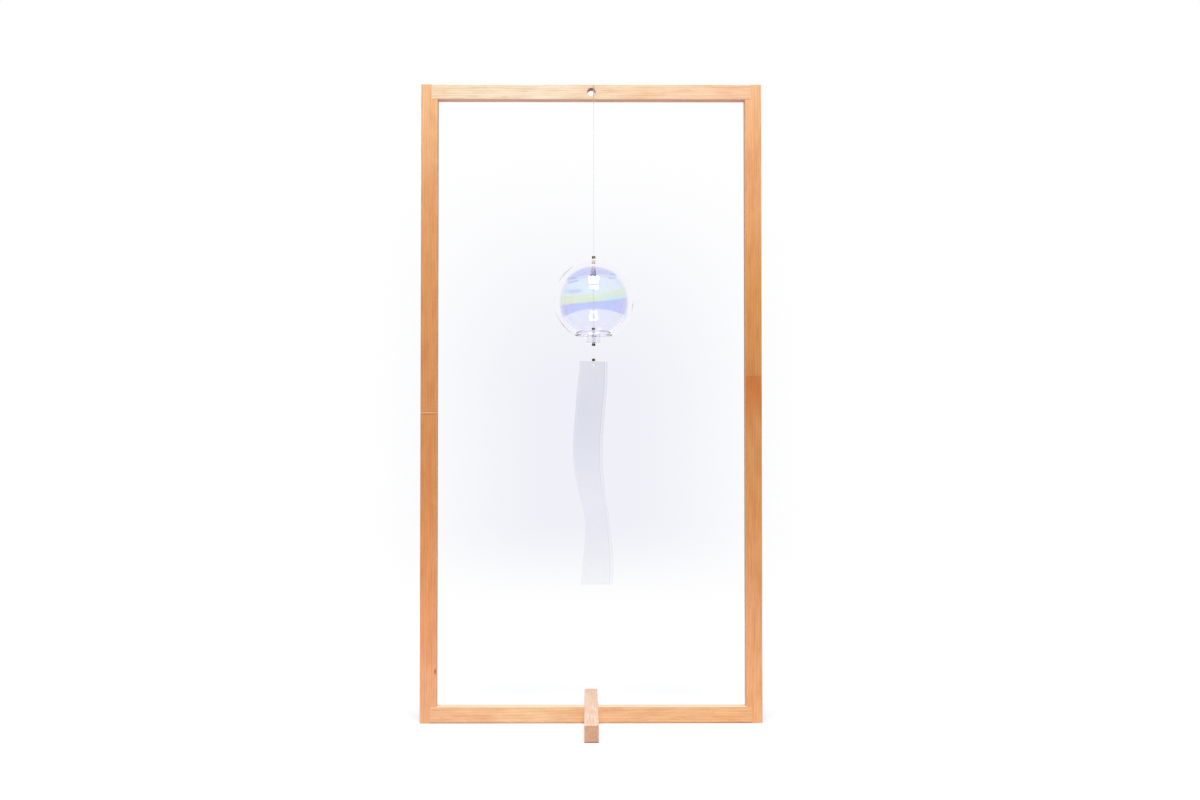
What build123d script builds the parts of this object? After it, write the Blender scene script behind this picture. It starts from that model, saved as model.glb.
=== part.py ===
from build123d import *
import os
from math import cos, pi, radians, sin, sqrt

# A glass wind bell hung in a standing wooden frame. Millimetres, +Z up.
# The frame stands on z = 0, centred on x and y, and its front is towards -y.

# Stand
frame_width = 310.0
frame_height = 580.0
timber_depth = 15.0
stile_width = 15.0
top_rail_height = 13.5
bottom_rail_height = 15.0
rabbet_depth = 5.5          # how far a rail's end is let into its stile
foot_width = 12.5
foot_length = 260.0
arris = 0.4                 # eased long edges of the timber
hole_diameter = 7.4         # thread hole through the top rail
hole_easing = 0.15
left_joint_height = 281.6   # where each stile's end joint shows on its front
right_joint_height = 314.1
finger_length = 8.0
finger_tip = 0.6
finger_count = 4
dowel_diameter = 4.0
dowel_in_stile = 6.0
dowel_in_rail = 14.0
dowel_clearance = 0.05
dowel_end_room = 0.5

# Thread and crimps
thread_diameter = 0.7
thread_offset = 2.2         # the thread hangs this far to the right of the frame's centre
thread_clearance = 0.1      # from the timber that it is tied round
thread_bend = 1.0           # radius of the thread's line round the rail's edges
knot_radius = 1.0
link_clearance = 0.08       # between two lengths of thread that swing on each other
hanger_upper_length = 30.0
hanger_lower_length = 112.7
crimp_diameter = 3.5
crimp_height = 2.1
crimp_round = 0.5
crimp_clearance = 0.03

# Bell and its stopper
bell_radius = 36.2
bell_wall = 5.2             # round the hollow
mouth_radius = 15.6
mouth_wall = 2.8
mouth_round = 1.2
stopper_height = 10.9
stopper_top_diameter = 2.8
stopper_bottom_diameter = 5.8
stopper_drop = 4.95         # thread that shows between the crimp and the stopper
stopper_seat = 2.1          # how far the stopper stands into the crown's hole
stopper_clearance = 0.06

# Clapper
clapper_diameter = 12.6
clapper_height = 12.4
clapper_bore = 2.2
clapper_round = 1.4
clapper_overhang = 6.7      # how far it hangs below the mouth
clapper_seat = 0.05

# Tail
tail_drop = 10.7            # thread between the clapper's crimp and the tail's crimp
tail_width = 29.2
tail_height = 202.0
tail_thickness = 0.3
tail_wave = 11.5            # how far the strip swells to and fro
tail_below_crimp = 0.3
tail_hole_diameter = 2.4
tail_hole_drop = 3.4
loop_clearance = 0.3
tail_hang_turn = 30.0       # degrees that the top of the strip is turned from the front
tail_wave_turn = 27.0       # degrees, the direction that the strip swells in
# Down the strip: share of its height, share of its wave, turn in degrees
tail_shares = (
    (0.000, 0.00, 30.0),
    (0.034, 0.00, 30.0),
    (0.110, 0.24, 23.0),
    (0.232, 0.63, 23.0),
    (0.375, 1.00, 23.0),
    (0.480, 0.88, 28.0),
    (0.589, 0.29, 34.0),
    (0.673, -0.40, 41.0),
    (0.787, -0.77, 37.0),
    (0.906, -0.73, 18.0),
    (1.000, -0.51, 8.0),
)

overrun = 1.0               # how far a cut runs past its piece

# Places worked out from the sizes above
front = -timber_depth / 2
back = timber_depth / 2
rail_bottom = frame_height - top_rail_height
hole_height = frame_height - top_rail_height / 2
hole_radius = hole_diameter / 2
rail_half = frame_width / 2 - stile_width + rabbet_depth
lap_height = bottom_rail_height / 2
thread_radius = thread_diameter / 2
thread_stand = thread_radius + thread_clearance
hang_x = thread_offset
hang_y = front - thread_stand
link_drop = thread_radius + link_clearance
hanger_pivot = rail_bottom - link_drop
side_pivot = hanger_pivot - hanger_upper_length - link_drop
hanger_crimp_top = side_pivot - hanger_lower_length
hanger_crimp_bottom = hanger_crimp_top - crimp_height
stopper_top = hanger_crimp_bottom - stopper_drop
stopper_bottom = stopper_top - stopper_height
cavity_radius = bell_radius - bell_wall
bell_centre = stopper_top - stopper_seat - cavity_radius
mouth_height = bell_centre - sqrt(bell_radius**2 - mouth_radius**2)
bore_radius = mouth_radius - mouth_wall
clapper_pivot = stopper_bottom - link_drop
clapper_bottom = mouth_height - clapper_overhang
clapper_top = clapper_bottom + clapper_height
bottom_crimp_top = clapper_bottom - clapper_seat
bottom_crimp_bottom = bottom_crimp_top - crimp_height
top_crimp_bottom = clapper_top + clapper_seat
tail_pivot = bottom_crimp_bottom - link_drop
tail_thread_length = tail_drop / 2
tail_side_pivot = tail_pivot - tail_thread_length - link_drop
tail_crimp_top = tail_side_pivot - tail_thread_length - link_clearance
tail_crimp_bottom = tail_crimp_top - crimp_height
tail_top = tail_crimp_bottom - tail_below_crimp
tail_hole_height = tail_top - tail_hole_drop


def block(x0, x1, y0, y1, z0, z1):
    middle = ((x0 + x1) / 2, (y0 + y1) / 2, (z0 + z1) / 2)
    return Pos(*middle) * Box(x1 - x0, y1 - y0, z1 - z0)


def upright(radius, bottom, top):
    return Pos(0, 0, (bottom + top) / 2) * Cylinder(radius, top - bottom)


def hung(shape):
    return Pos(hang_x, hang_y, 0) * shape


def write(name, shape):
    export_step(shape, os.path.join("parts", name + ".step"))


# Timber

def dowel(side, height, room):
    # One blind dowel at a corner, or its socket where room and clearance are added
    radius = dowel_diameter / 2 + (dowel_clearance if room else 0)
    length = dowel_in_stile + dowel_in_rail + 2 * room
    middle = rail_half + (dowel_in_stile - dowel_in_rail) / 2
    return Pos(side * middle, 0, height) * Rot(0, 90, 0) * Cylinder(radius, length)


def corner_heights():
    return bottom_rail_height / 2, hole_height


def whole_stile(side):
    inner = side * (frame_width / 2 - stile_width)
    outer = side * frame_width / 2
    stile = block(min(inner, outer), max(inner, outer), front, back, 0, frame_height)
    stile = chamfer(stile.edges().filter_by(Axis.Z), arris)
    shoulder = inner + side * rabbet_depth
    open_side = inner - side * overrun
    low = min(shoulder, open_side)
    high = max(shoulder, open_side)
    stile -= block(low, high, front - overrun, back + overrun, -overrun, bottom_rail_height)
    stile -= block(low, high, front - overrun, back + overrun, rail_bottom, frame_height + overrun)
    for height in corner_heights():
        stile -= dowel(side, height, dowel_end_room)
    return stile


def above_fingers(side, low):
    # All that lies above the finger joint's zigzag, which shows on the stile's sides
    pitch = timber_depth / finger_count
    high = low + finger_length
    points = [(front - overrun, low)]
    for finger in range(finger_count):
        start = front + finger * pitch
        points.append((start + finger_tip / 2, low))
        points.append((start + pitch / 2 - finger_tip / 2, high))
        points.append((start + pitch / 2 + finger_tip / 2, high))
        points.append((start + pitch - finger_tip / 2, low))
    points.append((back + overrun, low))
    points.append((back + overrun, frame_height + overrun))
    points.append((front - overrun, frame_height + overrun))
    inner = frame_width / 2 - stile_width - overrun
    outer = frame_width / 2 + overrun
    start = inner if side > 0 else -outer
    plane = Plane(origin=(start, 0, 0), x_dir=(0, 1, 0), z_dir=(1, 0, 0))
    return extrude(plane * make_face(Polyline(*points, close=True)), amount=outer - inner)


def make_stiles():
    for name, side, joint_height in (("left", -1, left_joint_height), ("right", 1, right_joint_height)):
        stile = whole_stile(side)
        upper_part = above_fingers(side, joint_height)
        write(name + "_stile_upper", stile & upper_part)
        write(name + "_stile_lower", stile - upper_part)


def plain_rail(bottom, top, dowel_height):
    rail = block(-rail_half, rail_half, front, back, bottom, top)
    rail = chamfer(rail.edges().filter_by(Axis.X), arris)
    for side in (-1, 1):
        rail -= dowel(side, dowel_height, dowel_end_room)
    return rail


def make_top_rail():
    rail = plain_rail(rail_bottom, frame_height, hole_height)
    rail -= Pos(0, 0, hole_height) * Rot(90, 0, 0) * Cylinder(hole_radius, timber_depth + 2 * overrun)
    circles = rail.edges().filter_by(GeomType.CIRCLE)
    rims = [edge for edge in circles if abs(edge.arc_center.X) < hole_radius]
    return chamfer(rims, hole_easing)


def make_bottom_rail():
    rail = plain_rail(0, bottom_rail_height, bottom_rail_height / 2)
    half = foot_width / 2
    top = bottom_rail_height + overrun
    return rail - block(-half, half, front - overrun, back + overrun, lap_height, top)


def make_foot():
    half = foot_width / 2
    foot = block(-half, half, -foot_length / 2, foot_length / 2, 0, bottom_rail_height)
    foot = chamfer(foot.edges(), arris)
    return foot - block(-half - overrun, half + overrun, front, back, -overrun, lap_height)


def make_dowels():
    pegs = [dowel(side, height, 0) for side in (-1, 1) for height in corner_heights()]
    return Compound(children=pegs)


# Thread, each length with a round end where it swings

def tube(name, path, bend):
    # Thread along a path, whose volume is printed to show that it doesn't pinch at its bends
    strand = sweep(Plane(path @ 0, z_dir=path % 0) * Circle(thread_radius), path=path)
    straight = pi * thread_radius**2 * path.length
    print(f"{name}: bends {bend:.2f}, volume {strand.volume:.3f}, section x length {straight:.3f}")
    return strand


def thread(bottom, top):
    return upright(thread_radius, bottom, top)


def thread_bore(bottom, top):
    return upright(thread_radius + crimp_clearance, bottom - overrun, top + overrun)


def link(pivot, bottom):
    return thread(bottom, pivot) + Pos(0, 0, pivot) * Sphere(thread_radius)


def hitch_path():
    # Up the rail's front, over its top, down its back and forward through the hole
    inside = hole_height + sqrt((hole_radius - thread_stand)**2 - hang_x**2)
    top = frame_height + thread_stand
    route = [
        (hang_x, hang_y, inside + thread_radius),
        (hang_x, hang_y, top),
        (hang_x, -hang_y, top),
        (hang_x, -hang_y, inside),
        (hang_x, hang_y + thread_radius, inside),
    ]
    return FilletPolyline(*route, radius=thread_bend), inside


def make_rail_hitch():
    path, inside = hitch_path()
    loop = tube("rail hitch", path, thread_bend)
    knot = Pos(hang_x, front - thread_clearance - knot_radius, inside) * Sphere(knot_radius)
    return loop + knot + hung(thread(rail_bottom, inside))


def make_crimp(bottom):
    barrel = upright(crimp_diameter / 2, bottom, bottom + crimp_height)
    barrel = fillet(barrel.edges(), crimp_round)
    return hung(barrel - thread_bore(bottom, bottom + crimp_height))


def make_tail_crimp():
    # A plain barrel that turns under its thread, with the loop's two legs on its flat underside
    barrel = upright(crimp_diameter / 2, tail_crimp_bottom, tail_crimp_top)
    return hung(fillet(barrel.edges(), crimp_round))


def make_tail_loop():
    half = thread_radius + tail_thickness / 2 + loop_clearance
    low = tail_hole_height + tail_hole_diameter / 2 - link_drop
    route = [
        (0, -half, tail_crimp_bottom),
        (0, -half, low),
        (0, half, low),
        (0, half, tail_crimp_bottom),
    ]
    bend = thread_radius + loop_clearance
    path = FilletPolyline(*route, radius=bend)
    return hung(Rot(0, 0, tail_hang_turn) * tube("tail loop", path, bend))


# Glass

def stopper_radius(height):
    slope = (stopper_bottom_diameter - stopper_top_diameter) / 2 / stopper_height
    return stopper_top_diameter / 2 + slope * (stopper_top - height)


def make_stopper():
    top = stopper_radius(stopper_top)
    bottom = stopper_radius(stopper_bottom)
    cone = Pos(0, 0, (stopper_bottom + stopper_top) / 2) * Cone(bottom, top, stopper_height)
    return hung(cone - thread_bore(stopper_bottom, stopper_top))


def make_bell():
    outside_hole = stopper_radius(bell_centre + bell_radius) + stopper_clearance
    inside_hole = stopper_radius(bell_centre + cavity_radius) + stopper_clearance
    crown_outside = (outside_hole, bell_centre + sqrt(bell_radius**2 - outside_hole**2))
    crown_inside = (inside_hole, bell_centre + sqrt(cavity_radius**2 - inside_hole**2))
    mouth_outside = (mouth_radius, mouth_height)
    mouth_inside = (bore_radius, mouth_height)
    lip_inside = (bore_radius, bell_centre - sqrt(cavity_radius**2 - bore_radius**2))
    outline = [
        ThreePointArc(crown_outside, (bell_radius, bell_centre), mouth_outside),
        Line(mouth_outside, mouth_inside),
        Line(mouth_inside, lip_inside),
        ThreePointArc(lip_inside, (cavity_radius, bell_centre), crown_inside),
        Line(crown_inside, crown_outside),
    ]
    profile = make_face(outline)
    lip = [corner for corner in profile.vertices() if corner.Y < bell_centre]
    return hung(revolve(Plane.XZ * fillet(lip, mouth_round), Axis.Z))


def make_clapper():
    tube_glass = upright(clapper_diameter / 2, clapper_bottom, clapper_top)
    tube_glass = fillet(tube_glass.edges(), clapper_round)
    return hung(tube_glass - upright(clapper_bore / 2, clapper_bottom - overrun, clapper_top + overrun))


# Tail strip

def tail_section(drop_share, wave_share, turn):
    swell = tail_wave * wave_share
    x = hang_x - swell * sin(radians(tail_wave_turn))
    y = hang_y + swell * cos(radians(tail_wave_turn))
    across = (cos(radians(turn)), sin(radians(turn)), 0)
    plane = Plane(origin=(x, y, tail_top - tail_height * drop_share), x_dir=across, z_dir=(0, 0, -1))
    return plane * Rectangle(tail_width, tail_thickness)


def make_tail():
    strip = loft([tail_section(*row) for row in tail_shares])
    hole = hung(Pos(0, 0, tail_hole_height) * Rot(0, 0, tail_hang_turn) * Rot(90, 0, 0)
                * Cylinder(tail_hole_diameter / 2, tail_thickness + 2 * overrun))
    return strip - hole


def main():
    os.makedirs("parts", exist_ok=True)
    make_stiles()
    write("top_rail", make_top_rail())
    write("bottom_rail", make_bottom_rail())
    write("foot", make_foot())
    write("corner_dowels", make_dowels())
    write("rail_hitch", make_rail_hitch())
    write("hanger_cord_upper", hung(link(hanger_pivot, side_pivot + link_drop)))
    write("hanger_cord", hung(link(side_pivot, hanger_crimp_top - crimp_height)))
    write("hanger_crimp", make_crimp(hanger_crimp_bottom))
    write("crown_thread", hung(thread(stopper_bottom, hanger_crimp_bottom)))
    write("crown_stopper", make_stopper())
    write("glass_bell", make_bell())
    write("clapper_cord", hung(link(clapper_pivot, bottom_crimp_bottom)))
    write("clapper_top_crimp", make_crimp(top_crimp_bottom))
    write("glass_clapper", make_clapper())
    write("clapper_bottom_crimp", make_crimp(bottom_crimp_bottom))
    write("tail_thread_upper", hung(link(tail_pivot, tail_side_pivot + link_drop)))
    write("tail_thread_lower", hung(link(tail_side_pivot, tail_crimp_top + link_clearance)))
    write("tail_crimp", make_tail_crimp())
    write("tail_loop", make_tail_loop())
    write("tail_strip", make_tail())


main()
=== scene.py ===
import math
import bpy
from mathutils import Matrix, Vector


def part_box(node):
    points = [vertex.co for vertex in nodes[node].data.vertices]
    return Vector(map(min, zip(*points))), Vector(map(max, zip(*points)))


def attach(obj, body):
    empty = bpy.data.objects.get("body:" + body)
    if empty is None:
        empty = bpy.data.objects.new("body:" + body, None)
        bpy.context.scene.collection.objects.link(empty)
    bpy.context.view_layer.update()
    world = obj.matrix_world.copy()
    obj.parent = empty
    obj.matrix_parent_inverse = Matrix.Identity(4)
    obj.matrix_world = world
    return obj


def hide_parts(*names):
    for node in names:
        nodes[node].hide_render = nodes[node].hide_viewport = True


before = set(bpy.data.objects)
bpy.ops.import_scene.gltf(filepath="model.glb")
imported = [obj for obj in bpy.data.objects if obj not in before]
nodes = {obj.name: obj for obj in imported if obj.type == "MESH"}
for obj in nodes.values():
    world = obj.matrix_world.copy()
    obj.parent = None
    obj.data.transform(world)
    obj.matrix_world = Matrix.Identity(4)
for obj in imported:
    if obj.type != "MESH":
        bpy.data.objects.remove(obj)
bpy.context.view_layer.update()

print("frame loaded,", len(nodes), "nodes")


# Selecting and shaping

def clearSelection():
    if bpy.context.mode != "OBJECT":
        bpy.ops.object.mode_set(mode="OBJECT")
    bpy.ops.object.select_all(action="DESELECT")


def takeUp(piece):
    clearSelection()
    bpy.context.view_layer.objects.active = piece
    piece.select_set(True)


def applyModifier(piece, kind, **settings):
    takeUp(piece)
    modifier = piece.modifiers.new(kind.lower(), kind)
    for key, value in settings.items():
        setattr(modifier, key, value)
    bpy.ops.object.modifier_apply(modifier=modifier.name)


def middleOf(node):
    low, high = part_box(node)
    return (low + high) / 2


def arc(centreRadius, centreHeight, radius, start, end, count):
    # (radius, height) pairs along a round stretch of a turned profile, angles in degrees
    points = []
    for step in range(count + 1):
        angle = math.radians(start + (end - start) * step / count)
        across, up = radius * math.cos(angle), radius * math.sin(angle)
        points.append((centreRadius + across, centreHeight + up))
    return points


def turned(name, profile, axis, sides):
    # A ring at the profile's first point, extruded and scaled round to where it began
    clearSelection()
    radius, height = profile[0]
    place = (axis.x, axis.y, height)
    bpy.ops.mesh.primitive_circle_add(vertices=sides, radius=radius, location=place)
    piece = bpy.context.object
    piece.name = name
    bpy.ops.object.transform_apply(location=True, rotation=True, scale=True)
    bpy.ops.object.mode_set(mode="EDIT")
    bpy.ops.mesh.select_all(action="SELECT")
    for nextRadius, nextHeight in profile[1:] + profile[:1]:
        step = (0, 0, nextHeight - height)
        bpy.ops.mesh.extrude_region_move(TRANSFORM_OT_translate={"value": step})
        growth = nextRadius / radius
        place = (axis.x, axis.y, nextHeight)
        bpy.ops.transform.resize(value=(growth, growth, 1), center_override=place)
        radius, height = nextRadius, nextHeight
    bpy.ops.mesh.select_all(action="SELECT")
    bpy.ops.mesh.remove_doubles(threshold=1e-6)
    bpy.ops.mesh.normals_make_consistent(inside=False)
    bpy.ops.object.mode_set(mode="OBJECT")
    bpy.ops.object.shade_smooth()
    return piece


def uneven(piece, name, shape):
    # Hot glass never sets quite even
    cloud = bpy.data.textures.new(name, "CLOUDS")
    cloud.noise_scale = shape["waverSize"]
    cloud.noise_depth = 0
    applyModifier(piece, "DISPLACE", texture=cloud, texture_coords="LOCAL",
                  strength=shape["waver"], mid_level=0.5)


# Materials

def hexColour(code):
    # A colour as it looks on screen, turned to the linear values that shaders take
    values = []
    for place in (0, 2, 4):
        value = int(code[place:place + 2], 16) / 255
        values.append(value / 12.92 if value <= 0.04045 else ((value + 0.055) / 1.055) ** 2.4)
    return (*values, 1)


def newMaterial(name, **inputs):
    material = bpy.data.materials.new(name)
    material.use_nodes = True
    shader = material.node_tree.nodes["Principled BSDF"]
    for key, value in inputs.items():
        shader.inputs[key.replace("_", " ")].default_value = value
    return material, shader


def put(material, kind, settings=None, inputs=None):
    node = material.node_tree.nodes.new(kind)
    for key, value in (settings or {}).items():
        setattr(node, key, value)
    for key, value in (inputs or {}).items():
        if isinstance(value, bpy.types.NodeSocket):
            material.node_tree.links.new(value, node.inputs[key])
        else:
            node.inputs[key].default_value = value
    return node


def wire(material, source, target):
    material.node_tree.links.new(source, target)


def calc(material, operation, first, second=0.0, clamp=False):
    settings = {"operation": operation, "use_clamp": clamp}
    return put(material, "ShaderNodeMath", settings, {0: first, 1: second}).outputs[0]


def times(material, first, second):
    return calc(material, "MULTIPLY", first, second)


def plus(material, first, second, clamp=False):
    return calc(material, "ADD", first, second, clamp)


def minus(material, first, second):
    return calc(material, "SUBTRACT", first, second)


def lengthOf(material, vector):
    node = put(material, "ShaderNodeVectorMath", {"operation": "LENGTH"}, {0: vector})
    return node.outputs["Value"]


def fromAxis(material, first, second):
    squares = plus(material, times(material, first, first), times(material, second, second))
    return calc(material, "SQRT", squares)


def spread(material, value, low, high, toLow=0.0, toHigh=1.0):
    # A smooth step from one value to another
    inputs = {"Value": value, "From Min": low, "From Max": high, "To Min": toLow, "To Max": toHigh}
    settings = {"interpolation_type": "SMOOTHSTEP"}
    return put(material, "ShaderNodeMapRange", settings, inputs).outputs[0]


def mixed(material, factor, first, second, mode="MIX"):
    node = put(material, "ShaderNodeMix", {"data_type": "RGBA", "blend_type": mode},
               {"Factor": factor, 6: first, 7: second})
    return node.outputs[2]


def ramp(material, value, stops):
    node = put(material, "ShaderNodeValToRGB", None, {"Fac": value})
    elements = node.color_ramp.elements
    elements[0].position, elements[0].color = stops[0]
    elements[1].position, elements[1].color = stops[-1]
    for place, colour in stops[1:-1]:
        elements.new(place).color = colour
    return node.outputs["Color"]


def toned(material, value, stops):
    # A ramp through colours given by their codes
    return ramp(material, value, [(place, hexColour(code)) for place, code in stops])


def noise(material, vector, scale, detail=2.0, roughness=0.5):
    node = put(material, "ShaderNodeTexNoise", None,
               {"Vector": vector, "Scale": scale, "Detail": detail, "Roughness": roughness})
    return node.outputs["Fac"]


def placed(material, location=(0, 0, 0), scale=(1, 1, 1), rotation=(0, 0, 0)):
    where = put(material, "ShaderNodeTexCoord").outputs["Object"]
    inputs = {"Vector": where, "Location": location, "Scale": scale, "Rotation": rotation}
    return put(material, "ShaderNodeMapping", None, inputs).outputs["Vector"]


def stretched(material, vector, scale):
    node = put(material, "ShaderNodeMapping", None, {"Vector": vector, "Scale": scale})
    return node.outputs["Vector"]


def split(material, vector):
    return put(material, "ShaderNodeSeparateXYZ", None, {0: vector}).outputs


def bumped(material, shader, height, strength, distance):
    node = put(material, "ShaderNodeBump", None,
               {"Height": height, "Strength": strength, "Distance": distance})
    wire(material, node.outputs["Normal"], shader.inputs["Normal"])


def dress(piece, material):
    piece.data.materials.clear()
    piece.data.materials.append(material)


# Camera

cameraView = {
    "place": (-0.0039, -1.777, 0.239),
    "pitch": 1.72,          # degrees up
    "turn": 0.384,          # degrees to the right
    "lens": 58.5,
    "sensor": 36.0,
}


def setCamera():
    clearSelection()
    angles = (math.radians(90 + cameraView["pitch"]), 0, -math.radians(cameraView["turn"]))
    bpy.ops.object.camera_add(location=cameraView["place"], rotation=angles)
    camera = bpy.context.object
    camera.data.lens = cameraView["lens"]
    camera.data.sensor_width = cameraView["sensor"]
    camera.data.sensor_fit = "HORIZONTAL"
    bpy.context.scene.camera = camera


setCamera()
print("camera set")


# Thread

threadLine = {
    "diameter": 0.0007,
    "straightFrom": 6,      # diameters from an end where a taut stretch is straight
    "endRound": 0.0005,     # over this length each end is rounded off
    "endWidth": 0.5,
    "resolution": 6,
    "tones": ((0.3, "EDEBF0"), (0.7, "F7F7FA")),
}


def threadMaterial():
    material, shader = newMaterial("clearThread", Roughness=0.16, IOR=1.53, Transmission_Weight=1.0)
    along = noise(material, placed(material), 900, 2)
    wire(material, toned(material, along, threadLine["tones"]), shader.inputs["Base Color"])
    bumped(material, shader, along, 0.1, 0.00005)
    return material


threadFinish = threadMaterial()


def strand(name, points, body, *replaced):
    # One smooth line of thread through its route's control points
    clearSelection()
    curve = bpy.data.curves.new(name, "CURVE")
    curve.dimensions = "3D"
    spline = curve.splines.new("NURBS")
    spline.points.add(len(points) - 1)
    for point, place in zip(spline.points, points):
        point.co = (*place, 1)
    spline.points[0].radius = spline.points[-1].radius = threadLine["endWidth"]
    spline.use_endpoint_u = True
    spline.order_u = 3
    spline.resolution_u = threadLine["resolution"]
    curve.bevel_depth = threadLine["diameter"] / 2
    curve.bevel_resolution = 3
    curve.use_fill_caps = True
    piece = bpy.data.objects.new(name, curve)
    bpy.context.scene.collection.objects.link(piece)
    curve.materials.append(threadFinish)
    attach(piece, body)
    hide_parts(*replaced)
    return piece


def tautRoute(node, *below):
    # Down the middle of one or more nodes, with a point near each end
    low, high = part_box(node)
    middle = (low + high) / 2
    bottom = min([low.z] + [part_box(other)[0].z for other in below])
    step = threadLine["straightFrom"] * threadLine["diameter"]
    soft = threadLine["endRound"]
    heights = (high.z, high.z - soft, high.z - step, bottom + step, bottom + soft, bottom)
    return [(middle.x, middle.y, height) for height in heights]


def hangCord(name, body, farEnd, withPieces, node, *below):
    route = tautRoute(node, *below)
    piece = strand(name, route, body, node, *below)


def shortThread(name, body, node):
    low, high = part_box(node)
    middle = (low + high) / 2
    soft = threadLine["endRound"]
    heights = (high.z, high.z - soft, middle.z, low.z + soft, low.z)
    strand(name, [(middle.x, middle.y, height) for height in heights], body, node)


railHitch = {
    "rise": 0.0024,         # of the thread's way through the rail, over the hole's middle
    "aside": -0.0002,       # of that way, halfway through
    # steps aside, back and up from the cord's line at the hole's middle
    "pastHole": ((0, 0, -0.003), (0, -0.0002, 0), (0.0002, -0.0006, 0.0024),
                 (0.0003, -0.0004, 0.0046)),
    "intoKnot": ((-0.0005, 0.0012, 0.0022), (-0.0009, -0.0004, 0.0021)),
    "knotBack": -0.0002,
    "knotTop": 0.002,
    "knotTurns": 3,
    "knotSteps": 8,         # points to a turn
    "knotRadius": 0.000775,
    "knotPitch": 0.00052,
}


def makeHitch():
    # Up the rail's front, over it, down its back, forward through the hole and round in a knot
    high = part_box("rail_hitch")[1]
    railLow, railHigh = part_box("top_rail")
    half = threadLine["diameter"] / 2
    x = middleOf("hanger_cord").x
    front = middleOf("hanger_cord").y
    back = high.y - half
    top = high.z - half
    holeMiddle = (railLow.z + railHigh.z) / 2
    inside = holeMiddle + railHitch["rise"]

    def beside(steps):
        return [(x + aside, front + behind, holeMiddle + up) for aside, behind, up in steps]

    route = [(x, front, railLow.z), (x, front, railLow.z + threadLine["endRound"])]
    route += beside(railHitch["pastHole"])
    route += [(x, front, top)] * 2 + [(x, back, top)] * 2 + [(x, back, inside)] * 2
    route += [(x + railHitch["aside"], 0, inside)]
    route += beside(railHitch["intoKnot"])
    turn, radius = railHitch["knotSteps"], railHitch["knotRadius"]
    for step in range(turn * railHitch["knotTurns"]):
        angle = math.radians(180 + 360 * step / turn)
        route += beside([(radius * math.cos(angle),
                          railHitch["knotBack"] - radius * math.sin(angle),
                          railHitch["knotTop"] - railHitch["knotPitch"] * step / turn)])
    strand("railHitch", route, "stand", "rail_hitch")


# Crimps

crimpShape = {
    "bore": 0.00076,
    "sides": 32,
    "roundness": 0.0003,
    "pinch": 0.2,           # how much the pliers flatten the barrel, as a share of its width
    "dent": 0.0004,
    "tones": ((0.1, "9A6E3E"), (0.34, "5E4124"), (0.54, "17120E")),     # painted glint in the middle to dark brass at the edges
}


def crimpMaterial(name, axis, half, turn):
    # Painted highlight: a tan glint down the pressed middle, dark brass towards the folded edges
    material, shader = newMaterial(name + "Brass", Metallic=0.5)
    x, y = split(material, placed(material, location=-axis))[:2]
    angle = math.radians(turn)
    side = plus(material, times(material, x, math.cos(angle)), times(material, y, math.sin(angle)))
    mottle = noise(material, placed(material), 1400, 4, 0.6)
    # Painted highlight: nought at the tan glint down the middle, rising towards the dark edges
    glintToDark = plus(material, calc(material, "DIVIDE", calc(material, "ABSOLUTE", side), half),
               times(material, minus(material, mottle, 0.5), 0.5))
    wire(material, toned(material, glintToDark, crimpShape["tones"]), shader.inputs["Base Color"])
    wire(material, spread(material, glintToDark, 0.2, 0.7, 0.35, 0.75), shader.inputs["Roughness"])
    wire(material, spread(material, glintToDark, 0.3, 0.6, 0.6, 0.05), shader.inputs["Metallic"])
    wire(material, spread(material, glintToDark, 0.3, 0.6, 0.5, 0.1), shader.inputs["Specular IOR Level"])
    bumped(material, shader, mottle, 0.3, 0.0001)
    return material


def makeCrimp(name, node, body, turn):
    low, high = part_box(node)
    axis = (low + high) / 2
    outer = (high.x - low.x) / 2
    inner = crimpShape["bore"] / 2
    soft = crimpShape["roundness"]
    profile = [(inner, low.z + soft / 2), (inner + soft / 2, low.z)]
    profile += arc(outer - soft, low.z + soft, soft, -90, 0, 5)
    profile += [(outer - crimpShape["dent"], axis.z)]
    profile += arc(outer - soft, high.z - soft, soft, 0, 90, 5)
    profile += [(inner + soft / 2, high.z), (inner, high.z - soft / 2)]
    piece = turned(name, profile, axis, crimpShape["sides"])
    bpy.ops.object.mode_set(mode="EDIT")
    bpy.ops.mesh.select_all(action="SELECT")
    squeeze = 1 - crimpShape["pinch"]
    bpy.ops.transform.rotate(value=-math.radians(turn), orient_axis="Z", center_override=axis)
    bpy.ops.transform.resize(value=(1, squeeze, 1), center_override=axis)
    bpy.ops.transform.rotate(value=math.radians(turn), orient_axis="Z", center_override=axis)
    bpy.ops.object.mode_set(mode="OBJECT")
    applyModifier(piece, "SUBSURF", levels=1, render_levels=1)
    dress(piece, crimpMaterial(name, axis, outer, turn))
    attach(piece, body)
    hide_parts(node)
    return piece


hangerCrimp = makeCrimp("hangerCrimp", "hanger_crimp", "hanger", 12)
clapperTopCrimp = makeCrimp("clapperTopCrimp", "clapper_top_crimp", "clapper", 20)
clapperBottomCrimp = makeCrimp("clapperBottomCrimp", "clapper_bottom_crimp", "clapper", -8)
makeCrimp("tailCrimp", "tail_crimp", "tail", 40)
print("crimps pressed")


# Stopper in the bell's crown

stopperShape = {
    "sides": 48,
    "bore": 0.00076,
    "soft": 0.0005,
    "belly": 0.00012,           # how far its sides are drawn in
    "topShare": 1.4 / 2.9,      # its narrow end as a share of its wide end
    # from its bottom to its top
    "tones": ((0.0, "6E5A52"), (0.06, "A49DB2"), (0.3, "B8B1C2"),
              (0.6, "CFC8D2"), (0.72, "DDC8A8"), (1.0, "DBBC8E")),
}


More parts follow.
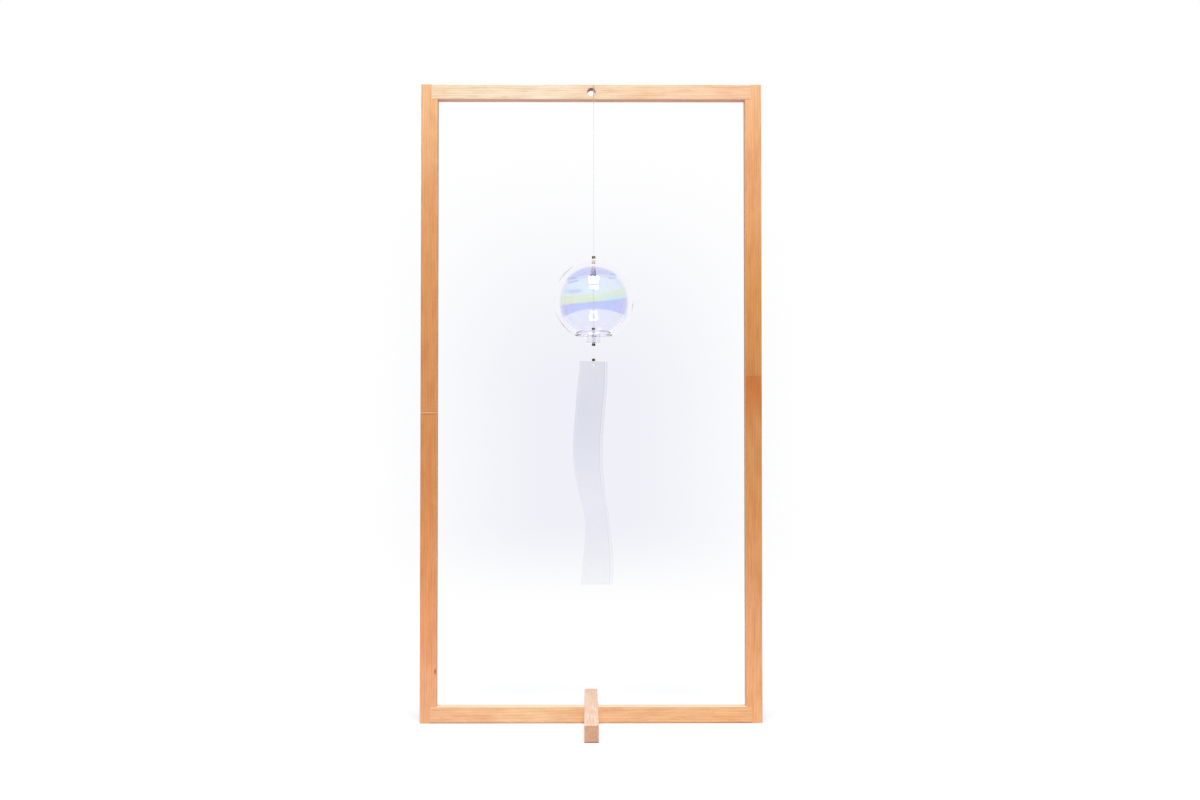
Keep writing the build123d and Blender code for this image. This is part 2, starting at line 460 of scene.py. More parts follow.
def stopperMaterial(bottom, top):
    material, shader = newMaterial("greyStopper", Roughness=0.42, Subsurface_Weight=0.1)
    shader.inputs["Subsurface Radius"].default_value = (0.001, 0.001, 0.001)
    grain = noise(material, placed(material), 700, 3)
    z = split(material, placed(material))[2]
    share = calc(material, "DIVIDE", minus(material, z, bottom), top - bottom)
    share = plus(material, share, times(material, minus(material, grain, 0.5), 0.08))
    wire(material, toned(material, share, stopperShape["tones"]), shader.inputs["Base Color"])
    bumped(material, shader, grain, 0.15, 0.0001)
    return material


def makeStopper():
    low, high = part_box("crown_stopper")
    axis = (low + high) / 2
    wide = (high.x - low.x) / 2
    narrow = wide * stopperShape["topShare"]
    bore = stopperShape["bore"] / 2
    soft = stopperShape["soft"]
    profile = [(bore, low.z + soft / 3), (bore + soft / 2, low.z)]
    profile += arc(wide - soft, low.z + soft, soft, -90, 0, 6)
    for share in (0.2, 0.4, 0.6, 0.8):
        swell = stopperShape["belly"] * math.sin(math.pi * share)
        profile.append((wide + (narrow - wide) * share - swell, low.z + (high.z - low.z) * share))
    profile += arc(narrow - soft / 2, high.z - soft / 2, soft / 2, 10, 90, 4)
    profile += [(bore + soft / 3, high.z), (bore, high.z - soft / 3)]
    piece = turned("crownStopper", profile, axis, stopperShape["sides"])
    dress(piece, stopperMaterial(low.z, high.z))
    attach(piece, "hanger")
    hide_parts("crown_stopper")
    return piece


crownStopper = makeStopper()
print("stopper turned")


# Thread pieces

hangCord("hangerCordTop", "hanger_upper", "object", (), "hanger_cord_upper")
hangCord("hangerCord", "hanger", "fitting", (hangerCrimp, crownStopper),
         "hanger_cord", "crown_thread")
hangCord("clapperCord", "clapper", "fitting", (clapperTopCrimp, clapperBottomCrimp),
         "clapper_cord")
shortThread("tailThreadTop", "tail_upper", "tail_thread_upper")
shortThread("tailThreadEnd", "tail_lower", "tail_thread_lower")
makeHitch()
print("thread strung")


# Glass bell

bellShape = {
    "wall": 0.0052,
    "mouthRadius": 0.0156,
    "mouthWall": 0.0028,
    "lipRound": 0.0004,
    "shoulderTurn": 3,          # degrees of the hollow that the lip's shoulder takes
    "holeGap": 0.00006,
    "sides": 224,
    "outerSteps": 72,
    "innerSteps": 70,
    "lipSteps": 5,
    "boreSteps": 7,
    "waver": 0.00022,           # how uneven the blown walls are
    "waverSize": 0.022,
}
lustre = {
    "lean": 0.08,               # how far the bands lean back
    "waver": 2.4,               # mm, how far their edges wander
    # each edge's height at the middle, climb to the right and arch, in mm from the bell's centre
    "cap": (21.8, 0.078, -0.0039),
    "bandTop": (5.6, 0.13, 0.003),
    "bandBottom": (-1.2, 0.11, 0.0),
    "low": (-7.6, 0.034, -0.0085),
    "softness": {"low": 0.7, "bandBottom": 1.0, "bandTop": 1.3, "cap": 0.7},
    # mm across and mm over an edge, between which each tint comes or goes
    "cyan": ((3, 14), (2, 6)),
    "peach": ((-24, -15), (0.5, 2.6)),
    # the same for marks that end on both sides, with how soft their ends are
    "patch": ((-24, -11, 3), (2.0, 5.0, 1.4)),
    # the two streaks below are painted reflections of the room, slate-blue on the bell's shoulders
    "leftRoomReflection": ((-24.5, -14.5, 1.5), (-1.6, 0.2, 0.5)),
    "rightRoomReflection": ((13.5, 20.5, 1.5), (-1.2, 0.2, 0.5)),
    # mm to either side from and to, and how strong there
    "violet": (14, 28, 0, 0.4),
    "fade": (25.5, 30.5, 0, 0.6),
    "mouth": (-28.5, -26.5),    # mm, where the film ends above the lip
    "bore": (2.3, 31.1, 35.9),  # mm, the drilled hole's ground wall: radius, bottom and top
    "boreEdge": 0.05,
    "boreRoughness": 0.5,
    "tones": {
        "cap": "D3D8FA", "roomReflection": "A5B9EC", "sky": "E9F7FF", "patch": "CFDCFF",
        "yellow": "EAF8D9", "cyan": "D6F5F5", "peach": "F3E8D8", "blue": "C3D0FE",
        "violet": "D3CCFA", "clear": "EEF2FD", "outside": "F9F8FD", "bore": "D9B183",
    },
}


def lustreMaterial(centre, wallMiddle):
    material, shader = newMaterial("lustreGlass", Roughness=0.0, IOR=1.5, Transmission_Weight=1.0)
    toMm = 1000
    place = placed(material, location=-centre * toMm, scale=(toMm, toMm, toMm))
    x, y, z = split(material, place)
    wave = noise(material, placed(material, location=-centre, scale=(1, 1, 2)), 34, 2, 0.5)
    waver = times(material, minus(material, wave, 0.5), lustre["waver"])
    height = plus(material, minus(material, z, times(material, y, lustre["lean"])), waver)
    tones = {name: hexColour(code) for name, code in lustre["tones"].items()}

    def above(edge):
        start, climb, bend = lustre[edge]
        slope = plus(material, climb, times(material, x, bend))
        return minus(material, height, plus(material, start, times(material, x, slope)))

    def within(value, low, high, soft):
        return times(material, spread(material, value, low - soft, low + soft),
                     spread(material, value, high - soft, high + soft, 1, 0))

    def mark(name, edge):
        across, up = lustre[name]
        return times(material, within(x, *across), within(over[edge], *up))

    over = {edge: above(edge) for edge in lustre["softness"]}
    aside = calc(material, "ABSOLUTE", x)
    violet = spread(material, aside, *lustre["violet"])
    blue = mixed(material, violet, tones["blue"], tones["violet"])
    across, up = lustre["cyan"]
    cyan = times(material, spread(material, x, *across),
                 spread(material, over["bandBottom"], *up, 1, 0))
    band = mixed(material, cyan, tones["yellow"], tones["cyan"])
    across, up = lustre["peach"]
    peach = times(material, spread(material, x, *across, 1, 0),
                  spread(material, over["bandBottom"], *up, 1, 0))
    band = mixed(material, peach, band, tones["peach"])
    sky = mixed(material, mark("patch", "bandTop"), tones["sky"], tones["patch"])
    # Painted reflections of the room: slate-blue streaks on the shoulders
    roomReflections = plus(material, mark("leftRoomReflection", "cap"), mark("rightRoomReflection", "cap"), clamp=True)
    layers = {"low": blue, "bandBottom": band, "bandTop": sky, "cap": tones["cap"]}
    colour = tones["clear"]
    for edge, layer in layers.items():
        soft = lustre["softness"][edge]
        colour = mixed(material, spread(material, over[edge], -soft, soft), colour, layer)
    colour = mixed(material, roomReflections, colour, tones["roomReflection"])
    thin = spread(material, aside, *lustre["fade"])
    colour = mixed(material, thin, colour, tones["clear"])
    inner = calc(material, "LESS_THAN", lengthOf(material, place), wallMiddle * toMm)
    inner = times(material, inner, spread(material, z, *lustre["mouth"]))
    colour = mixed(material, inner, tones["outside"], colour)
    radius, bottom, top = lustre["bore"]
    edge = lustre["boreEdge"]
    ground = spread(material, fromAxis(material, x, y), radius - edge, radius + edge, 1, 0)
    ground = times(material, within(z, bottom, top, edge), ground)
    wire(material, mixed(material, ground, colour, tones["bore"]), shader.inputs["Base Color"])
    wire(material, times(material, ground, lustre["boreRoughness"]), shader.inputs["Roughness"])
    return material


def makeBell():
    low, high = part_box("glass_bell")
    axis = (low + high) / 2
    radius = (high.x - low.x) / 2
    hollow = radius - bellShape["wall"]
    mouth = bellShape["mouthRadius"]
    bore = mouth - bellShape["mouthWall"]
    soft = bellShape["lipRound"]
    centre = low.z + math.sqrt(radius ** 2 - mouth ** 2)
    stopperLow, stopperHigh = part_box("crown_stopper")
    wide = (stopperHigh.x - stopperLow.x) / 2
    narrow = wide * stopperShape["topShare"]

    def holeTurn(wall):
        # Degrees up to the hole's edge, on a wall of this radius
        share = (centre + wall - stopperLow.z) / (stopperHigh.z - stopperLow.z)
        hole = wide + (narrow - wide) * share + bellShape["holeGap"]
        return math.degrees(math.acos(hole / wall))

    lipTop = low.z + soft
    lipTurn = math.degrees(math.asin((lipTop - centre) / radius))
    lipOuter = radius * math.cos(math.radians(lipTurn))
    floor = centre - math.sqrt(hollow ** 2 - bore ** 2)
    rise = floor - soft - lipTop
    lowTurn = math.degrees(math.acos(bore / hollow)) - bellShape["shoulderTurn"]
    lipSteps, boreSteps = bellShape["lipSteps"], bellShape["boreSteps"]
    profile = arc(0, centre, radius, holeTurn(radius), lipTurn, bellShape["outerSteps"])
    profile += arc(lipOuter - soft, lipTop, soft, 0, -90, lipSteps)[1:]
    profile += [((lipOuter + bore) / 2, low.z)]
    profile += arc(bore + soft, lipTop, soft, -90, -180, lipSteps)[:-1]
    profile += [(bore, lipTop + rise * step / boreSteps) for step in range(boreSteps + 1)]
    profile += arc(0, centre, hollow, -lowTurn, holeTurn(hollow), bellShape["innerSteps"])
    piece = turned("glassBell", profile, axis, bellShape["sides"])
    uneven(piece, "blownWaver", bellShape)
    dress(piece, lustreMaterial(Vector((axis.x, axis.y, centre)), (radius + hollow) / 2))
    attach(piece, "bell")
    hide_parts("glass_bell")


makeBell()
print("bell blown")


# Glass clapper, a short length of thick tube with melted ends

clapperShape = {
    "bore": 0.0022,
    "boreRound": 0.0005,
    "boreSteps": 10,
    "round": 0.0016,
    "roundSteps": 10,
    "sideSteps": 8,
    "sides": 96,
    "waver": 0.00012,
    "waverSize": 0.006,
    "tones": ((0.3, "E6E9F0"), (0.7, "EFF1F5")),
}


def clapperMaterial():
    material, shader = newMaterial("clearGlass", Roughness=0.0, IOR=1.5, Transmission_Weight=1.0)
    cast = noise(material, placed(material), 120, 1)
    wire(material, toned(material, cast, clapperShape["tones"]), shader.inputs["Base Color"])
    return material


def makeClapper():
    low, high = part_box("glass_clapper")
    axis = (low + high) / 2
    tall = high.z - low.z
    outer = (high.x - low.x) / 2
    inner = clapperShape["bore"] / 2
    soft, edge = clapperShape["round"], clapperShape["boreRound"]
    roundSteps, sideSteps = clapperShape["roundSteps"], clapperShape["sideSteps"]
    boreSteps = clapperShape["boreSteps"]
    straight = tall - 2 * soft
    profile = arc(inner + edge, low.z + edge, edge, 180, 270, 4)
    profile += arc(outer - soft, low.z + soft, soft, -90, 0, roundSteps)
    profile += [(outer, low.z + soft + straight * step / sideSteps) for step in range(1, sideSteps)]
    profile += arc(outer - soft, high.z - soft, soft, 0, 90, roundSteps)
    profile += arc(inner + edge, high.z - edge, edge, 90, 180, 4)
    profile += [(inner, high.z - tall * step / boreSteps) for step in range(1, boreSteps)]
    piece = turned("glassClapper", profile, axis, clapperShape["sides"])
    uneven(piece, "meltedWaver", clapperShape)
    dress(piece, clapperMaterial())
    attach(piece, "clapper")
    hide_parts("glass_clapper")


makeClapper()
print("clapper made")


# Tail loop and ribbon

ribbon = {
    "width": 0.0292,
    "length": 0.206,            # flat
    "height": 0.202,            # as it hangs
    "thickness": 0.00012,
    "swell": 0.0115,
    "swellTurn": 27,
    "flatTop": 0.034,
    "rows": 130,
    "holeRadius": 0.0012,
    "holeDrop": 0.0034,
    "punchDepth": 0.004,
    "loopHalf": 0.0008,
    "selvedge": 0.0028,
    "threadPitch": 0.00042,
    "slubScale": (500, 40, 1),
    "cloudScale": (60, 22, 1),
    "tone": "8A92BA",
    "paleTone": "A4ACCE",
    # share of its length and how much one face of it hides there; the cloth is equally sheer all
    # along, so the fall in the ramp is painted shade, darker at the top and lighter towards the
    # bottom
    "veilAndShade": ((0.0, 0.105), (0.2, 0.124), (0.35, 0.11), (0.48, 0.083), (0.62, 0.046), (0.75, 0.047),
             (0.85, 0.047), (1.0, 0.039)),
    "lineVeil": 0.1,            # how much more the rim and the seam hide
    "weaveVeil": 0.025,
    # down the ribbon: share of its height, share of its swell, turn in degrees
    "stations": (
        (0.000, 0.00, 30), (0.034, 0.00, 30), (0.110, 0.24, 23), (0.232, 0.63, 23),
        (0.375, 1.00, 23), (0.480, 0.88, 28), (0.589, 0.29, 34), (0.673, -0.40, 41),
        (0.787, -0.77, 37), (0.906, -0.73, 18), (1.000, -0.51, 8),
    ),
}


def ribbonSlope(index, column):
    stations = ribbon["stations"]
    before = stations[max(index - 1, 0)]
    after = stations[min(index + 1, len(stations) - 1)]
    return (after[column] - before[column]) / (after[0] - before[0])


def ribbonValue(share, column):
    # A smooth run through the stations
    stations = ribbon["stations"]
    index = max(place for place in range(len(stations) - 1) if stations[place][0] <= share + 1e-9)
    span = stations[index + 1][0] - stations[index][0]
    step = (share - stations[index][0]) / span
    start, end = stations[index][column], stations[index + 1][column]
    leave, arrive = ribbonSlope(index, column) * span, ribbonSlope(index + 1, column) * span
    return (start * (1 + 2 * step) * (1 - step) ** 2 + leave * step * (1 - step) ** 2
            + end * step ** 2 * (3 - 2 * step) + arrive * step ** 2 * (step - 1))


def ribbonPlace(top, share):
    # The ribbon's middle and its turn at a share of its height
    swell = ribbon["swell"] * ribbonValue(share, 1)
    lean = math.radians(ribbon["swellTurn"])
    step = (-swell * math.sin(lean), swell * math.cos(lean), -ribbon["height"] * share)
    return top + Vector(step), math.radians(ribbonValue(share, 2))


def ribbonMaterial():
    material, shader = newMaterial("sheerRibbon", Roughness=0.55, Sheen_Weight=0.2,
                                   Sheen_Roughness=0.4)
    cloth = put(material, "ShaderNodeUVMap", {"uv_map": "cloth"}).outputs["UV"]
    across, down = split(material, cloth)[:2]
    pitch = 2 * math.pi / ribbon["threadPitch"]
    warp = calc(material, "SINE", times(material, across, pitch))
    weft = calc(material, "SINE", times(material, down, pitch))
    weave = times(material, plus(material, warp, weft), 0.25)
    slub = noise(material, stretched(material, cloth, ribbon["slubScale"]), 1, 2)
    cloud = noise(material, stretched(material, cloth, ribbon["cloudScale"]), 1, 3)
    edge = minus(material, ribbon["width"] / 2, calc(material, "ABSOLUTE", across))
    start = ribbon["selvedge"]
    body = spread(material, edge, start - 0.0004, start + 0.0002)
    rim = spread(material, edge, 0.0002, 0.0005, 1, 0)
    seam = minus(material, spread(material, edge, start - 0.0001, start + 0.0002),
                 spread(material, edge, start + 0.0003, start + 0.0006))
    right = spread(material, across, -0.002, 0.002, 0.25, 1)
    line = times(material, calc(material, "MAXIMUM", rim, seam), right)
    body = calc(material, "MAXIMUM", body, minus(material, 1.0, right))
    tone = mixed(material, cloud, hexColour(ribbon["tone"]), hexColour(ribbon["paleTone"]))
    wire(material, tone, shader.inputs["Base Color"])
    # Painted shade in the opacity: the ribbon hides more at the top, so it looks darker there, and
    # less towards the bottom
    veilAndShade = ramp(material, calc(material, "DIVIDE", down, ribbon["length"]),
                [(share, (hides, hides, hides, 1)) for share, hides in ribbon["veilAndShade"]])
    solid = times(material, veilAndShade, plus(material, times(material, body, 0.5), 0.5))
    solid = plus(material, solid, times(material, line, ribbon["lineVeil"]))
    threads = times(material, plus(material, weave, slub), ribbon["weaveVeil"])
    wire(material, plus(material, solid, threads, clamp=True), shader.inputs["Alpha"])
    bumped(material, shader, weave, 0.2, 0.00006)
    return material


def makeLoop():
    top = middleOf("tail_loop")
    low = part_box("tail_loop")[0].z + threadLine["diameter"] / 2
    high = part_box("tail_loop")[1].z
    turn = math.radians(ribbon["stations"][0][2])
    reach = Vector((-math.sin(turn), math.cos(turn), 0)) * ribbon["loopHalf"]
    front, back = top - reach, top + reach
    route = [(front.x, front.y, high), (front.x, front.y, low),
             (back.x, back.y, low), (back.x, back.y, high)]
    strand("tailLoop", route, "tail", "tail_loop")


def makeRibbon():
    top = middleOf("tail_crimp")
    top.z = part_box("tail_strip")[1].z
    middle, turn = ribbonPlace(top, ribbon["flatTop"])
    clearSelection()
    bpy.ops.mesh.primitive_plane_add(size=1, location=(top + middle) / 2,
                                     rotation=(math.pi / 2, 0, turn))
    piece = bpy.context.object
    piece.name = "tailRibbon"
    piece.scale = (ribbon["width"], top.z - middle.z, 1)
    bpy.ops.object.transform_apply(location=True, rotation=True, scale=True)
    for vertex in piece.data.vertices:
        vertex.select = vertex.co.z < (top.z + middle.z) / 2
    for edge in piece.data.edges:
        edge.select = all(piece.data.vertices[corner].select for corner in edge.vertices)
    for face in piece.data.polygons:
        face.select = False
    bpy.ops.object.mode_set(mode="EDIT")
    bpy.ops.mesh.select_mode(type="EDGE")
    for row in range(1, ribbon["rows"] + 1):
        share = ribbon["flatTop"] + (1 - ribbon["flatTop"]) * row / ribbon["rows"]
        nextMiddle, nextTurn = ribbonPlace(top, share)
        bpy.ops.mesh.extrude_region_move(TRANSFORM_OT_translate={"value": nextMiddle - middle})
        bpy.ops.transform.rotate(value=turn - nextTurn, orient_axis="Z",
                                 center_override=nextMiddle)
        middle, turn = nextMiddle, nextTurn
    bpy.ops.mesh.select_all(action="SELECT")
    bpy.ops.mesh.subdivide(number_cuts=1)
    bpy.ops.mesh.normals_make_consistent(inside=False)
    bpy.ops.object.mode_set(mode="OBJECT")
    applyModifier(piece, "SOLIDIFY", thickness=ribbon["thickness"], offset=0)
    punchHole(piece, top)
    layCloth(piece, top)
    takeUp(piece)
    bpy.ops.object.mode_set(mode="EDIT")
    bpy.ops.mesh.select_all(action="SELECT")
    bpy.ops.mesh.normals_make_consistent(inside=False)
    bpy.ops.object.mode_set(mode="OBJECT")
    bpy.ops.object.shade_smooth_by_angle(angle=math.radians(40))
    dress(piece, ribbonMaterial())
    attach(piece, "tail")
    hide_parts("tail_strip")
    return piece


def punchHole(piece, top):
    clearSelection()
    turn = math.radians(ribbon["stations"][0][2])
    place = top - Vector((0, 0, ribbon["holeDrop"]))
    bpy.ops.mesh.primitive_cylinder_add(vertices=32, radius=ribbon["holeRadius"],
                                        depth=ribbon["punchDepth"], location=place,
                                        rotation=(math.pi / 2, 0, turn))
    punch = bpy.context.object
    bpy.ops.object.transform_apply(location=True, rotation=True, scale=True)
    applyModifier(piece, "BOOLEAN", object=punch, operation="DIFFERENCE", solver="EXACT")
    bpy.data.objects.remove(punch)


def layCloth(piece, top):
    # The cloth's own measure, in metres across and down
    while piece.data.uv_layers:
        piece.data.uv_layers.remove(piece.data.uv_layers[0])
    cloth = piece.data.uv_layers.new(name="cloth")
    for loop in piece.data.loops:
        place = piece.data.vertices[loop.vertex_index].co
        share = min(max((top.z - place.z) / ribbon["height"], 0), 1)
        middle, turn = ribbonPlace(top, share)
        across = (place - middle).dot(Vector((math.cos(turn), math.sin(turn), 0)))
        cloth.data[loop.index].uv = (across, share * ribbon["height"])


makeLoop()
tailRibbon = makeRibbon()
print("ribbon hung")


# Timber

timber = {
    # pith: where the growth rings' middle lies beside the piece; drift: how far it moves in a metre
    # tones: places along the piece and their colours, partly the wood's own tone and partly painted
    # light, lighter towards the frame's top and bottom and darker in the stiles' middles
    # bands: thin lines round it, by axis, place, half width and colour; the joint lines are the
    # wood's own, the lines on the bottom rail and the foot are painted light
    # knot: its middle; bore: the radius of the piece's own hole
    "left_stile_upper": {
        "along": "Z", "pith": (0.052, 0.034), "drift": (0.011, -0.006),
        "tones": ((0.28, "D29052"), (0.392, "D79556"), (0.484, "E1A56B"), (0.558, "EFBA83"),
                  (0.58, "F2C08C")),
    },
    "left_stile_lower": {
        "along": "Z", "pith": (-0.043, 0.051), "drift": (-0.008, 0.012),
        "tones": ((0.0, "F8BE8C"), (0.025, "F6B683"), (0.098, "EFA36A"), (0.19, "DD9453"),
                  (0.28, "D38F4F")),
        "bands": (("Z", 0.28085, 0.0006, "E9B27C"), ("Z", 0.2792, 0.00035, "A9683A"),
                  ("Z", 0.28145, 0.0003, "9A5B33")),
        "knot": (-0.1406, -0.0075, 0.0466),
    },
    "right_stile_upper": {
        "along": "Z", "pith": (0.061, -0.03), "drift": (0.009, 0.009),
        "tones": ((0.31, "CB8846"), (0.345, "CF8D4A"), (0.392, "D6964F"), (0.484, "E7A66D"),
                  (0.558, "F0B782"), (0.58, "F3BC89")),
    },
    "right_stile_lower": {
        "along": "Z", "pith": (-0.05, -0.042), "drift": (-0.012, 0.007),
        "tones": ((0.0, "FBBC84"), (0.025, "FAB77D"), (0.098, "ECA86F"), (0.19, "D99757"),
                  (0.266, "D29151"), (0.292, "CA7B37"), (0.315, "C67530")),
    },
    "top_rail": {
        "along": "X", "pith": (0.047, 0.05), "drift": (0.009, -0.011),
        "tones": ((-0.15, "F1D8B4"), (-0.12, "F3E0C0"), (-0.045, "F3E0C4"), (0.045, "F2D3AC"),
                  (0.135, "F3C8A3"), (0.15, "F2C49C")),
        "bore": 0.00375,
    },
    "bottom_rail": {
        "along": "X", "pith": (-0.06, 0.036), "drift": (0.013, 0.006),
        "tones": ((-0.15, "F8C391"), (-0.11, "FAC897"), (-0.045, "FED5A3"), (0.045, "F8C591"),
                  (0.15, "FAC188")),
        # painted contact shadow along the bottom edge, painted highlight along the top edge
        "bands": (("Z", 0.0002, 0.0007, "B0582A"), ("Z", 0.0149, 0.0005, "FFE4BE")),
    },
    "foot": {
        "along": "Y", "pith": (0.075, -0.03), "drift": (-0.006, 0.004),
        "tones": ((-0.14, "FFDFC4"), (0.14, "FFDBBE")),
        # painted contact shadow along the bottom edge
        "bands": (("Z", 0.0003, 0.0007, "A05A34"),),
    },
    "corner_dowels": {
        "along": "X", "pith": (0.03, 0.02), "drift": (0.01, 0.0),
        "tones": ((-0.15, "E4C698"), (0.15, "E4C698")),
    },
}
woodLook = {
    "ringGap": 0.0023,
    "ringDepth": 0.2,
    "ringSway": 0.009,
    "fibreDepth": 0.36,
    "poreDepth": 0.35,
    # noise to the metre, across the grain twice and along it
    "swayScale": (30, 30, 6),
    "fibreScale": (1100, 1100, 26),
    "mottleScale": (160, 160, 34),
    "poreScale": (2100, 2100, 130),
    "late": "D6A877",
    "pore": "B5643A",
    "knot": "C44A1C",
    "knotSquash": 0.6,
    "knotEdge": (0.0005, 0.0022),
    "bore": "DE7A3C",
    # the next colour is painted shade, multiplied into faces turned downwards
    "under": "F6CDB8",
    # the next two are a painted highlight lightening the rounded edges, and how strong it is
    "arris": "FFF0DC",
    "arrisDepth": 0.22,
    "endGrain": "DECABB",
}
grainTurns = {"X": (0, math.pi / 2, 0), "Y": (math.pi / 2, 0, 0), "Z": (0, 0, 0)}


def timberMaterial(name, look):
    material, shader = newMaterial(name.replace("_", "") + "Wood")
    axes = split(material, placed(material))
    grain = placed(material, rotation=grainTurns[look["along"]])
    u, v, along = split(material, grain)
    tone = {key: hexColour(woodLook[key])
            for key in ("late", "pore", "knot", "bore", "under", "arris", "endGrain")}

    def grained(key, detail, roughness=0.5):
        return noise(material, stretched(material, grain, woodLook[key]), 1, detail, roughness)

    def fromPith(part, side):
        start = plus(material, part, look["pith"][side])
        return plus(material, start, times(material, along, look["drift"][side]))

    sway = times(material, minus(material, grained("swayScale", 3), 0.5), woodLook["ringSway"])
    radius = plus(material, fromAxis(material, fromPith(u, 0), fromPith(v, 1)), sway)
    ring = calc(material, "FRACT", calc(material, "DIVIDE", radius, woodLook["ringGap"]))
    late = times(material, spread(material, ring, 0.15, 0.9),
                 spread(material, ring, 0.9, 1.0, 1, 0))
    fibre = grained("fibreScale", 3, 0.6)
    mottle = grained("mottleScale", 3, 0.6)
    pore = spread(material, grained("poreScale", 1), 0.66, 0.74)

    # Painted light along with the wood's own tone: the ramp along the piece makes the frame lighter
    # at its top and bottom and darker in the middle of the stiles
    start, end = look["tones"][0][0], look["tones"][-1][0]
    share = put(material, "ShaderNodeMapRange", None,
                {"Value": axes[look["along"]], "From Min": start, "From Max": end}).outputs[0]
    colour = toned(material, share,
                   [((at - start) / (end - start), code) for at, code in look["tones"]])
    roomReflections = spread(material, plus(material, fibre, mottle), 0.8, 1.3)
    deep = plus(material, times(material, late, woodLook["ringDepth"]),
                times(material, roomReflections, woodLook["fibreDepth"]))
    colour = mixed(material, deep, colour, tone["late"], "MULTIPLY")
    colour = mixed(material, times(material, pore, woodLook["poreDepth"]), colour, tone["pore"])
    for axis, at, half, code in look.get("bands", ()):
        near = calc(material, "ABSOLUTE", minus(material, axes[axis], at))
        band = spread(material, near, half * 0.6, half * 1.2, 0.8, 0)
        colour = mixed(material, band, colour, hexColour(code))
    if "knot" in look:
        x, y, z = look["knot"]
        squash = woodLook["knotSquash"]
        middle = (-x, -y, -z * squash)
        away = lengthOf(material, placed(material, location=middle, scale=(1, 1, squash)))
        knot = spread(material, away, *woodLook["knotEdge"], 0.9, 0)
        colour = mixed(material, knot, colour, tone["knot"])
    if "bore" in look:
        height = middleOf(name).z
        away = lengthOf(material, placed(material, location=(0, 0, -height), scale=(1, 0, 1)))
        inside = spread(material, away, look["bore"], look["bore"] + 0.0001, 1, 0)
        colour = mixed(material, inside, colour, tone["bore"])

    # Painted shade: faces turned downwards are darkened
    facing = split(material, put(material, "ShaderNodeTexCoord").outputs["Normal"])
    down = spread(material, facing[2], -0.98, -0.9, 1, 0)
    colour = mixed(material, down, colour, tone["under"], "MULTIPLY")
    flat = [calc(material, "ABSOLUTE", part) for part in facing]
    widest = calc(material, "MAXIMUM", calc(material, "MAXIMUM", flat[0], flat[1]), flat[2])
    # Painted highlight: the rounded edges, where the normal leaves the axes, are lightened
    arris = spread(material, widest, 0.86, 0.985, woodLook["arrisDepth"], 0)
    colour = mixed(material, arris, colour, tone["arris"])
    cut = spread(material, flat["XYZ".index(look["along"])], 0.9, 0.99)
    colour = mixed(material, cut, colour, tone["endGrain"], "MULTIPLY")
    wire(material, colour, shader.inputs["Base Color"])
    wire(material, spread(material, fibre, 0.2, 0.8, 0.42, 0.6), shader.inputs["Roughness"])
    bumped(material, shader, minus(material, fibre, pore), 0.12, 0.0002)
    return material


for node, look in timber.items():
    dress(nodes[node], timberMaterial(node, look))
print("timber grained")


# Stage and light

stageLook = {
    "floorSize": 3.0,
    "floorDrop": 0.0003,
    "floorTone": "E6E7F2",
    "floorLift": (0.2, 1.2, 0.36, 0.55),    # from and to, in metres off the stand, and how much
    "glassLift": 0.35,                      # what glass sees of that lift
    "fill": 0.3,
    "cool": "FBFBFE",                       # the backdrop as glass shows it
    # the colour of the painted shade in the cool patch
    "coolest": "F0F1F8",
    # the soft edges of the cool patch of painted shade, as directions from the camera
    "patchSide": (0.015, 0.12),
    "patchBottom": (-0.078, -0.03),
    "patchTop": (0.03, 0.17),
    "bounces": 32,
}
softboxes = {
    "top": {"elevation": 59.6, "distance": 2.6, "size": (1.2, 1.06), "power": 56.0},
    "front": {"elevation": 35.8, "distance": 2.8, "size": (1.2, 0.46), "power": 15.5},
}


def seenBy(material, path, camera, glass):
    # One level for what the camera sees, another for what shows in glass and metal
    mirrored = plus(material, path.outputs["Is Glossy Ray"], path.outputs["Is Transmission Ray"],
                    clamp=True)
    return plus(material, times(material, path.outputs["Is Camera Ray"], camera),
                times(material, mirrored, glass))


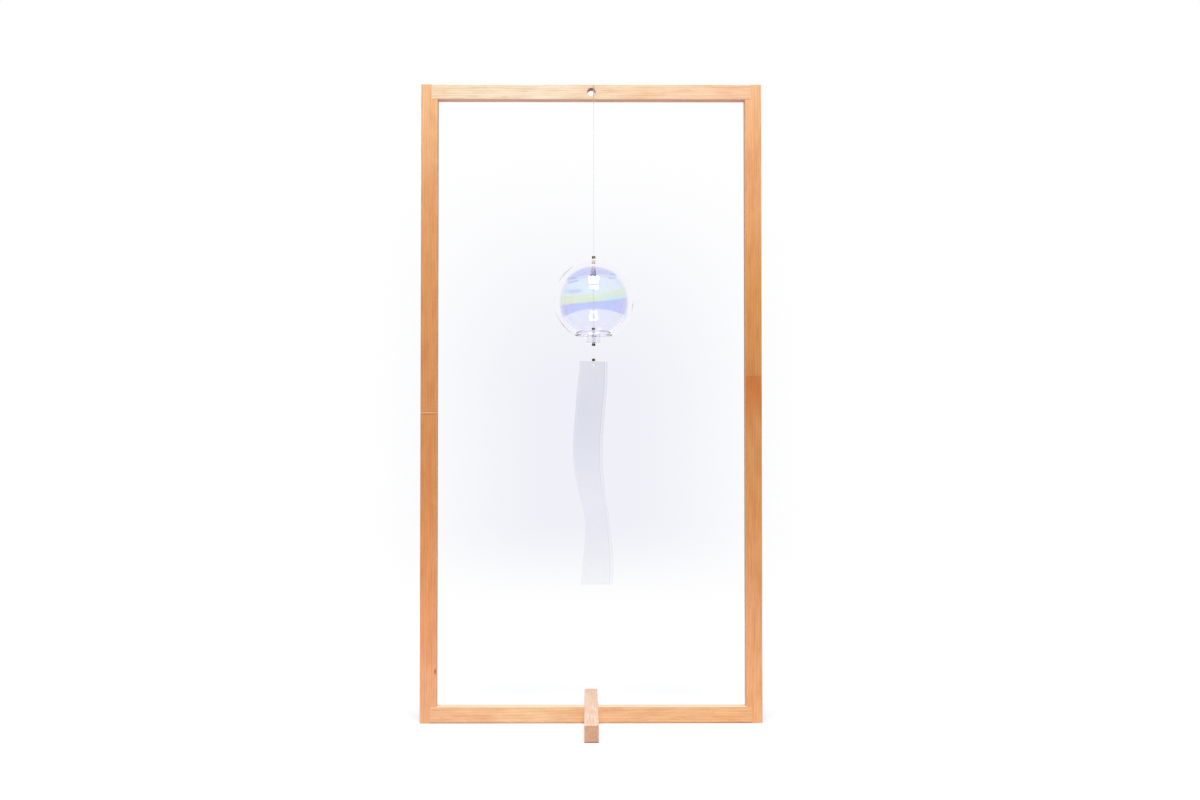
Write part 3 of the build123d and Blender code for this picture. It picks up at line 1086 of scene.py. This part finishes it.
def makeFloor():
    clearSelection()
    bpy.ops.mesh.primitive_plane_add(size=stageLook["floorSize"],
                                     location=(0, 0, -stageLook["floorDrop"]))
    floor = bpy.context.object
    floor.name = "floor"
    material, shader = newMaterial("paleFloor", Roughness=0.9, Emission_Color=(1, 1, 1, 1),
                                   Base_Color=hexColour(stageLook["floorTone"]))
    lift = spread(material, lengthOf(material, placed(material)), *stageLook["floorLift"])
    glow = seenBy(material, put(material, "ShaderNodeLightPath"), lift, stageLook["glassLift"])
    wire(material, glow, shader.inputs["Emission Strength"])
    dress(floor, material)


def makeBackdrop():
    # White all round, with a soft cool patch of painted shade straight behind the bell
    world = bpy.data.worlds.new("studio")
    bpy.context.scene.world = world
    world.use_nodes = True
    background = world.node_tree.nodes["Background"]
    x, y, z = split(world, put(world, "ShaderNodeTexCoord").outputs["Generated"])
    patch = spread(world, calc(world, "ABSOLUTE", x), *stageLook["patchSide"], 1, 0)
    patch = times(world, patch, spread(world, z, *stageLook["patchBottom"]))
    patch = times(world, patch, spread(world, z, *stageLook["patchTop"], 1, 0))
    patch = times(world, patch, calc(world, "GREATER_THAN", y, 0.0))
    path = put(world, "ShaderNodeLightPath")
    white = (1, 1, 1, 1)
    straight = mixed(world, patch, white, hexColour(stageLook["coolest"]))
    colour = mixed(world, path.outputs["Is Camera Ray"], hexColour(stageLook["cool"]), straight)
    wire(world, colour, background.inputs["Color"])
    seen = seenBy(world, path, 1.0, 1.0)
    level = put(world, "ShaderNodeMapRange", None,
                {"Value": seen, "To Min": stageLook["fill"], "To Max": 1.0})
    wire(world, level.outputs[0], background.inputs["Strength"])


def hangSoftbox(name, setting):
    clearSelection()
    bell = middleOf("glass_bell")
    rise = math.radians(setting["elevation"])
    place = bell + Vector((0, -math.cos(rise), math.sin(rise))) * setting["distance"]
    bpy.ops.object.light_add(type="AREA", location=place)
    lamp = bpy.context.object
    lamp.name = name
    lamp.data.shape = "RECTANGLE"
    lamp.data.size, lamp.data.size_y = setting["size"]
    lamp.data.energy = setting["power"]
    lamp.rotation_euler = (bell - place).to_track_quat("-Z", "Y").to_euler()


makeFloor()
makeBackdrop()
for name, setting in softboxes.items():
    hangSoftbox(name + "Softbox", setting)
bounces = bpy.context.scene.cycles      # light is turned back many times inside thick glass
bounces.max_bounces = bounces.glossy_bounces = stageLook["bounces"]
bounces.transmission_bounces = stageLook["bounces"]
bpy.context.scene.view_settings.view_transform = "Standard"
print("stage lit")
